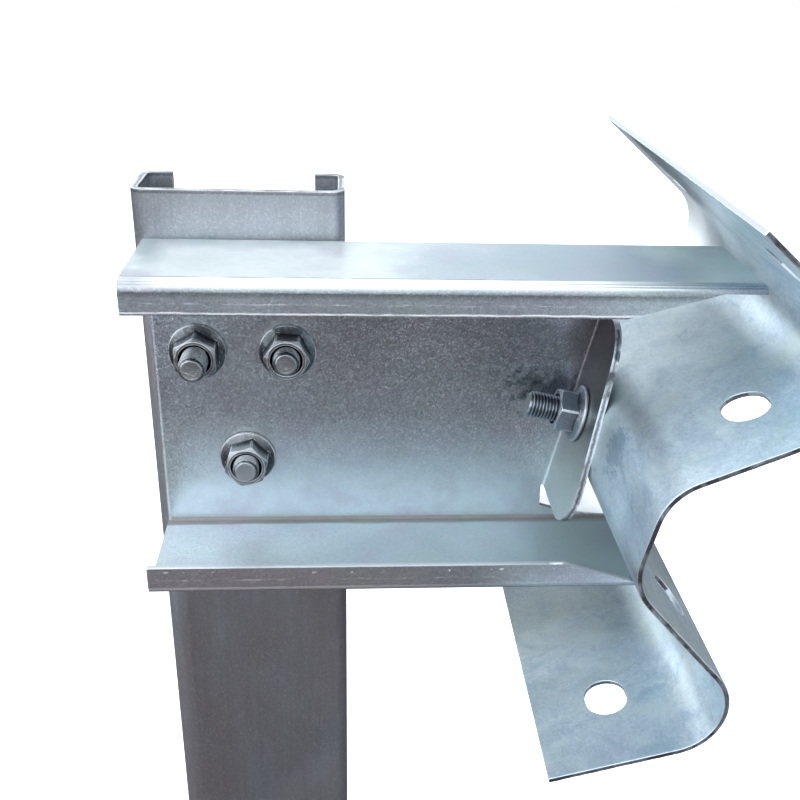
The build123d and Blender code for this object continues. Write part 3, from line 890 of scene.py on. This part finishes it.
def flange_nut():
    """From the bore's foot up, over the hexagon and the flange, and back to the bore."""
    nut = Lathe(hexagon_angles())
    top = NUT_HEIGHT

    def cone_height(radius):
        return CONE_FOOT + (FLANGE - 0.8 - radius) * CONE_SLOPE

    # last number per ring: painted shade in the bore, cone foot and underside; painted highlight on
    # chamfers and rim
    nut.circles(
        (BORE, 0.2, -1.0),
        (BORE, top - 1.6, -1.0),
        (BORE + 1.1, top - 0.6, -1.0),
        (BORE + 1.45, top - 0.15, -0.1),
        (BORE + 1.7, top, 0.3),
        (CHAMFER_FROM, top, 0.15),
    )
    nut.ring(lambda a: (hexagon_radius(a), bevel_height(a, top)), 0.45)
    nut.ring(lambda a: (hexagon_radius(a), bevel_height(a, top) - 1.2), 0.1)
    nut.ring(lambda a: (hexagon_radius(a), cone_height(hexagon_radius(a)) + 0.9), 0.0)
    nut.ring(lambda a: (hexagon_radius(a) + 0.25, cone_height(hexagon_radius(a)) + 0.25), -0.8)
    nut.ring(lambda a: (hexagon_radius(a) + 0.9, cone_height(hexagon_radius(a) + 0.9)), -0.45)
    nut.circles(
        (FLANGE - 1.4, cone_height(FLANGE - 1.4), -0.2),
        (FLANGE - 0.45, 2.3, 0.1),
        (FLANGE - 0.03, 1.75, 0.4),
        (FLANGE - 0.02, 0.75, -0.5),
        (FLANGE - 0.6, 0.02, -1.0),
        (BORE + 0.6, 0.02),
        (BORE, 0.2, -1.0),
    )
    return nut


def thread(start, end, seed):
    """Rows along a helix: each runs on into the same row of the next turn."""
    helix = Lathe(even(ROUND))
    per_turn = len(THREAD_PROFILE)
    rows = (int((end - start) / PITCH_MM) + 3) * per_turn
    tip_foot = end - TIP_LENGTH

    def shape(row, index):
        part, lift, row_wear_and_shade = THREAD_PROFILE[row % per_turn]
        height = start + PITCH_MM * (row // per_turn - 1 + part + index / ROUND)
        radius = ROOT + (CREST - ROOT) * lift
        waver = noise.noise(Vector((seed + index * 0.21, height * 0.8, row * 0.13)))
        radius += THREAD_WAVER * waver
        if height <= start:
            return INNER, start, 0.0
        if height >= tip_foot:
            return TIP_RADIUS, tip_foot, -0.2
        return min(radius, TIP_RADIUS + (tip_foot - height)), height, row_wear_and_shade

    for row in range(rows):
        for index, angle in enumerate(helix.angles):
            radius, height, row_wear_and_shade = shape(row, index)
            helix.point(radius, angle, height, row_wear_and_shade)
    for row in range(rows - per_turn):
        for index in range(ROUND):
            a = row * ROUND + index
            b = a + 1 if index + 1 < ROUND else (row + per_turn) * ROUND
            if b + ROUND < len(helix.points):
                helix.faces.append((a, b, b + ROUND, a + ROUND))
    return helix


def shank(length):
    """Plain shank inside the joint, up to where the thread starts."""
    tube = Lathe(even(ROUND))
    tube.circles((CREST, -1.0), (CREST, length - 0.3), (INNER, length))
    tube.cap(-1.0, first=True)
    return tube


def tip(end):
    """Chamfer, bright rim and shallow dish at a bolt's end."""
    dish = Lathe(even(ROUND))
    dish.circles(
        (TIP_RADIUS, end - TIP_LENGTH, -0.2),
        (ROOT - 0.75, end - 0.1, 0.5),
        (ROOT - 0.95, end, 1.0),
        (ROOT - 1.4, end - 0.02, 0.9),
        (ROOT - 2.6, end - 0.2, 0.8),
    )
    dish.cap(end - 0.25, 0.8)
    return dish


def hexagon_head():
    """Head behind the seat, with a washer face and a chamfered top."""
    head = Lathe(hexagon_angles())
    top = HEAD_HEIGHT
    head.circles((INNER, 0.0), (HEAD_WASHER, 0.0, 0.3), (HEAD_WASHER, -0.55, 0.3))
    head.ring(lambda a: (hexagon_radius(a), -0.7), 0.6)
    head.ring(lambda a: (hexagon_radius(a), -1.6))
    head.ring(lambda a: (hexagon_radius(a), -bevel_height(a, top) + 1.2))
    head.ring(lambda a: (hexagon_radius(a), -bevel_height(a, top)), 0.9)
    head.circles((CHAMFER_FROM, -top, 0.7), (9.2, -top, 0.3), (8.6, -top + 0.35, 0.1))
    head.cap(-top + 0.4, 0.2)
    head.cap(0.0, first=True)
    return head


def button_head():
    """Round head on a pad."""
    head = Lathe(even(FINE_ROUND))
    head.circles(
        (INNER, 0.0),
        (PAD, 0.0, 0.2),
        (PAD, -PAD_HEIGHT, 0.2),
        (BUTTON - 0.6, -PAD_HEIGHT, 0.2),
        (BUTTON - 0.03, -1.75, 0.9),
        (BUTTON - 0.1, -2.5, 0.9),
    )
    dome_foot = 2.9
    dome_rise = BUTTON_HEIGHT - dome_foot
    for step in range(1, 10):
        turn = step / 10 * math.pi / 2
        radius = (BUTTON - 0.3) * math.cos(turn) ** 0.8
        head.circles((radius, -dome_foot - dome_rise * math.sin(turn), 0.3))
    head.cap(-BUTTON_HEIGHT + 0.01, 0.3)
    head.cap(0.0, first=True)
    return head


def oval_neck():
    """Neck with two straight sides and round ends, which the rail's slot keeps from turning."""
    neck = Lathe(even(FINE_ROUND))
    half_run = (NECK_LENGTH - NECK_WIDTH) / 2

    def oval(angle):
        x, y = math.cos(angle), math.sin(angle)
        if abs(y) > 1e-9 and abs(x / y) * NECK_END < half_run:
            return NECK_END / abs(y)
        b = half_run * abs(x)
        return b + math.sqrt(b * b - half_run * half_run + NECK_END * NECK_END)

    neck.ring(lambda a: (oval(a), 0.0))
    neck.ring(lambda a: (oval(a), 2.3))
    neck.ring(lambda a: (oval(a) - 0.3, 2.6))
    neck.circles((INNER, 2.6))
    neck.cap(2.6)
    neck.cap(0.0, first=True)
    return neck


def bolt(grip, length, seed, *heads):
    """Thread, shank, tip and head. The seed gives each thread its own unevenness."""
    start = grip + NUT_HEIGHT - HIDDEN_THREAD
    whole = thread(start, length, seed)
    for part in (shank(start), tip(length), *heads):
        whole.add(part)
    return whole


def fastener(name, node, lathe, origin, x_dir, axis, turn=0.0, arris=0.0):
    """A piece from turned rings, set on its seat; sizes come in millimetres."""
    mesh = bpy.data.meshes.new(name)
    mesh.from_pydata(lathe.points, [], lathe.faces)
    wear_and_shade = mesh.attributes.new("wear_and_shade", "FLOAT", "POINT")
    wear_and_shade.data.foreach_set("value", lathe.wear_and_shade)
    x_dir = Vector(x_dir).normalized()
    axis = Vector(axis).normalized()
    axes = Matrix((x_dir, axis.cross(x_dir), axis)).transposed().to_4x4()
    mesh.transform(
        Matrix.Scale(MM, 4) @ Matrix.Translation(origin) @ axes @ Matrix.Rotation(turn, 4, "Z")
    )
    bm = bmesh.new()
    bm.from_mesh(mesh)
    bmesh.ops.remove_doubles(bm, verts=bm.verts, dist=SAME_POINT)
    bmesh.ops.dissolve_degenerate(bm, edges=bm.edges, dist=SAME_POINT)
    bmesh.ops.recalc_face_normals(bm, faces=bm.faces)
    bm.faces.layers.float.new("cut")
    bm.faces.layers.float.new("rim")
    if arris:
        round_arrises(bm, arris * MM, NUT_SHARPEST)
    bm.to_mesh(mesh)
    bm.free()
    mesh.materials.append(FASTENER_ZINC)
    obj = bpy.data.objects.new(name, mesh)
    scene.collection.objects.link(obj)
    harden(obj)
    place(obj, "fastener_steel", node)


X_AXIS, Y_AXIS, TO_FRONT = (1, 0, 0), (0, 1, 0), (0, -1, 0)
for name, (x, z, length, turn) in POST_BOLTS.items():
    fastener(
        f"flange_nut_{name}", f"post_nut_{name}", flange_nut(), (x, NUT_SEAT_Y, z),
        X_AXIS, TO_FRONT, math.radians(turn), NUT_ARRIS,
    )
    fastener(
        f"hexagon_bolt_{name}", f"post_bolt_{name}", bolt(POST_GRIP, length, x, hexagon_head()),
        (x, BOLT_SEAT_Y, z), X_AXIS, TO_FRONT,
    )

RAIL_NUT_SEAT, RAIL_BOLT_SEAT, RAIL_NUT_TURN = -4, 3, 22
RAIL_BOLT_SEED = 5.0
rail_foot = VALLEY + Vector((0, RAIL_BOLT_Y, 0))
fastener(
    "flange_nut_rail", "rail_nut", flange_nut(), rail_foot + ACROSS * RAIL_NUT_SEAT,
    Y_AXIS, -ACROSS, math.radians(RAIL_NUT_TURN), NUT_ARRIS,
)
fastener(
    "button_bolt_rail", "rail_bolt",
    bolt(RAIL_GRIP, RAIL_BOLT_LENGTH, RAIL_BOLT_SEED, button_head(), oval_neck()),
    rail_foot + ACROSS * RAIL_BOLT_SEAT, Y_AXIS, -ACROSS,
)
